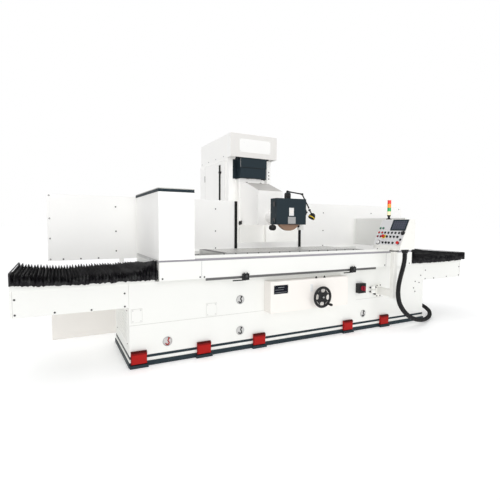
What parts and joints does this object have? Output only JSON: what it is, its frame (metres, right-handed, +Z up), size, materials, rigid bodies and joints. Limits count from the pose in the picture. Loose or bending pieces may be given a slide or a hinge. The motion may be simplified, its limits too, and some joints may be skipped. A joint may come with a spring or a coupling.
{
  "type": "surface grinder",
  "caption": "Moving-column surface grinder: long bed with bellows, travelling table and magnetic chuck, guarded wheelhead on a column, swivelling console.",
  "frame": {"origin": "centre of the main bed's footprint, on the floor under its plinth", "axes": "+X along the table travel, to the right of an operator at the front; +Y from the operator towards the column; +Z up"},
  "size_m": [5.861, 3.6693, 2.656],
  "materials": {
    "white_paint": "smooth semi-gloss enamel",
    "cream_paint": "fine-textured powder coat",
    "navy_paint": "satin powder coat",
    "red_paint": "semi-gloss enamel",
    "black_paint": "satin black",
    "black_plastic": "moulded",
    "red_plastic": "moulded",
    "green_plastic": "moulded",
    "lens_plastic": "translucent moulded segments",
    "motor_grey": "satin enamel",
    "ground_steel": "ground and oiled",
    "chuck_steel": "ground, with pole lines",
    "bellows_cloth": "coated cloth, pleated",
    "conduit_rubber": "corrugated",
    "abrasive": "vitrified abrasive, coarse",
    "cast_paint": "filled and enamelled casting"
  },
  "bodies": {
    "root": {"bed_casting": "cast_paint", "bed_plinth": "navy_paint", "bed_extension_left": "cast_paint", "bed_extension_right": "cast_paint", "levelling_cover_1": "red_paint", "levelling_cover_2": "red_paint", "levelling_cover_3": "red_paint", "levelling_cover_4": "red_paint", "levelling_cover_5": "red_paint", "rear_bed": "cast_paint", "cross_feed_motor": "motor_grey", "hydraulic_tank": "cream_paint", "table_cylinder": "motor_grey", "rear_guard_left": "white_paint", "rear_guard_centre": "white_paint", "rear_guard_right": "white_paint", "feed_box": "cast_paint", "main_switch_base": "black_plastic", "console_arm": "cream_paint", "bed_gland": "black_plastic", "conduit": "conduit_rubber"},
    "table": {"table_casting": "cast_paint", "table_apron": "white_paint", "magnetic_chuck": "chuck_steel", "end_guard_left": "white_paint", "end_guard_right": "white_paint", "piston_rod": "ground_steel", "bellows_left": "bellows_cloth", "bellows_right": "bellows_cloth"},
    "dog_left": {"trip_dog_left": "black_paint"},
    "dog_right": {"trip_dog_right": "black_paint"},
    "column": {"saddle": "cast_paint", "column_casting": "cast_paint", "column_hood": "white_paint", "elevating_motor": "motor_grey", "way_cover_upper": "navy_paint"},
    "service_door": {"column_door": "white_paint"},
    "feed_screw": {"cross_screw": "ground_steel"},
    "lift_screw": {"elevating_screw": "ground_steel"},
    "head": {"head_housing": "cast_paint", "wheel_guard_body": "navy_paint", "spindle_cartridge": "ground_steel", "spindle_motor": "motor_grey", "way_cover_lower": "navy_paint"},
    "guard_door": {"wheel_guard_door": "navy_paint"},
    "coolant_valve": {"coolant_knob": "black_plastic"},
    "lamp_arm": {"lamp_arm": "black_paint"},
    "lamp_head": {"lamp_head": "black_plastic"},
    "spindle": {"spindle_shaft": "ground_steel", "grinding_wheel": "abrasive"},
    "handwheel": {"handwheel": "black_paint"},
    "crank_grip": {"handwheel_grip": "black_plastic"},
    "main_switch": {"main_switch_handle": "red_plastic"},
    "console": {"console_housing": "cream_paint", "console_gland": "black_plastic", "stack_light": "lens_plastic"},
    "emergency_stop": {"emergency_stop": "red_plastic"},
    "start_button": {"start_button": "green_plastic"},
    "mode_selector": {"mode_selector": "black_plastic"},
    "feed_dial": {"feed_dial": "black_plastic"}
  },
  "joints": [
    {"name": "table_travel", "type": "slide", "parent": "root", "child": "table", "axis": [1, 0, 0], "range_m": [-0.98, 0.98], "deforming": ["bellows_left", "bellows_right"]},
    {"name": "dog_left_set", "type": "slide", "parent": "table", "child": "dog_left", "axis": [1, 0, 0], "range_m": [-0.35, 0.6]},
    {"name": "dog_right_set", "type": "slide", "parent": "table", "child": "dog_right", "axis": [1, 0, 0], "range_m": [-0.6, 0.36]},
    {"name": "column_cross", "type": "slide", "parent": "root", "child": "column", "axis": [0, 1, 0], "range_m": [-0.28, 0.25]},
    {"name": "feed_screw_turn", "type": "hinge", "parent": "root", "child": "feed_screw", "pos_m": [0.018, 1.5, 0.6], "axis": [0, 1, 0], "range_deg": [-5100, 4600]},
    {"name": "head_lift", "type": "slide", "parent": "column", "child": "head", "axis": [0, 0, 1], "range_m": [-0.225, 0.2]},
    {"name": "lift_screw_turn", "type": "hinge", "parent": "column", "child": "lift_screw", "pos_m": [0.018, 1.16, 1.7], "axis": [0, 0, 1], "range_deg": [-4100, 3700]},
    {"name": "service_door_hinge", "type": "hinge", "parent": "column", "child": "service_door", "pos_m": [-0.3503, 2.01, 1.55], "axis": [0, 0, -1], "range_deg": [0, 100]},
    {"name": "guard_door_hinge", "type": "hinge", "parent": "head", "child": "guard_door", "pos_m": [-0.203, -0.025, 1.5], "axis": [0, 0, -1], "range_deg": [0, 95]},
    {"name": "coolant_valve_turn", "type": "hinge", "parent": "head", "child": "coolant_valve", "pos_m": [-0.215, 0.02, 1.31], "axis": [0, 0, 1], "range_deg": [0, 180]},
    {"name": "lamp_swivel", "type": "hinge", "parent": "head", "child": "lamp_arm", "pos_m": [-0.002, 0.017, 1.75], "axis": [0, 0, 1], "range_deg": [-30, 25]},
    {"name": "lamp_tilt", "type": "hinge", "parent": "lamp_arm", "child": "lamp_head", "pos_m": [0.3454, 0.017, 1.5487], "axis": [0, 1, 0], "range_deg": [-40, 40]},
    {"name": "spindle_spin", "type": "hinge", "parent": "head", "child": "spindle", "pos_m": [0.018, 0, 1.4475], "axis": [0, 1, 0], "continuous": true},
    {"name": "handwheel_turn", "type": "hinge", "parent": "root", "child": "handwheel", "pos_m": [0.062, -0.64, 0.526], "axis": [0, 1, 0], "continuous": true},
    {"name": "crank_grip_spin", "type": "hinge", "parent": "handwheel", "child": "crank_grip", "pos_m": [0.133, -0.69, 0.444], "axis": [0, 1, 0], "continuous": true},
    {"name": "main_switch_turn", "type": "hinge", "parent": "root", "child": "main_switch", "pos_m": [0.807, -0.5023, 0.552], "axis": [0, 1, 0], "range_deg": [0, 90]},
    {"name": "console_swivel", "type": "hinge", "parent": "root", "child": "console", "pos_m": [1.137, -0.686, 1.1], "axis": [0, 0, 1], "range_deg": [-15, 90]},
    {"name": "emergency_stop_press", "type": "slide", "parent": "console", "child": "emergency_stop", "axis": [0.9065, 0, -0.4223], "range_m": [0, 0.006], "stiffness_N_per_m": 900},
    {"name": "start_button_press", "type": "slide", "parent": "console", "child": "start_button", "axis": [0.9065, 0, -0.4223], "range_m": [0, 0.005], "stiffness_N_per_m": 500},
    {"name": "mode_selector_turn", "type": "hinge", "parent": "console", "child": "mode_selector", "pos_m": [1.0695, -0.62884, 1.20426], "axis": [-0.9065, 0, 0.4223], "range_deg": [-45, 45]},
    {"name": "feed_dial_turn", "type": "hinge", "parent": "console", "child": "feed_dial", "pos_m": [1.092, -0.85144, 1.25256], "axis": [-0.9065, 0, 0.4223], "continuous": true}
  ],
  "couplings": [
    {"joint": "feed_screw_turn", "follows": "column_cross", "rad_per_m": 314.16},
    {"joint": "lift_screw_turn", "follows": "head_lift", "rad_per_m": 314.16}
  ]
}
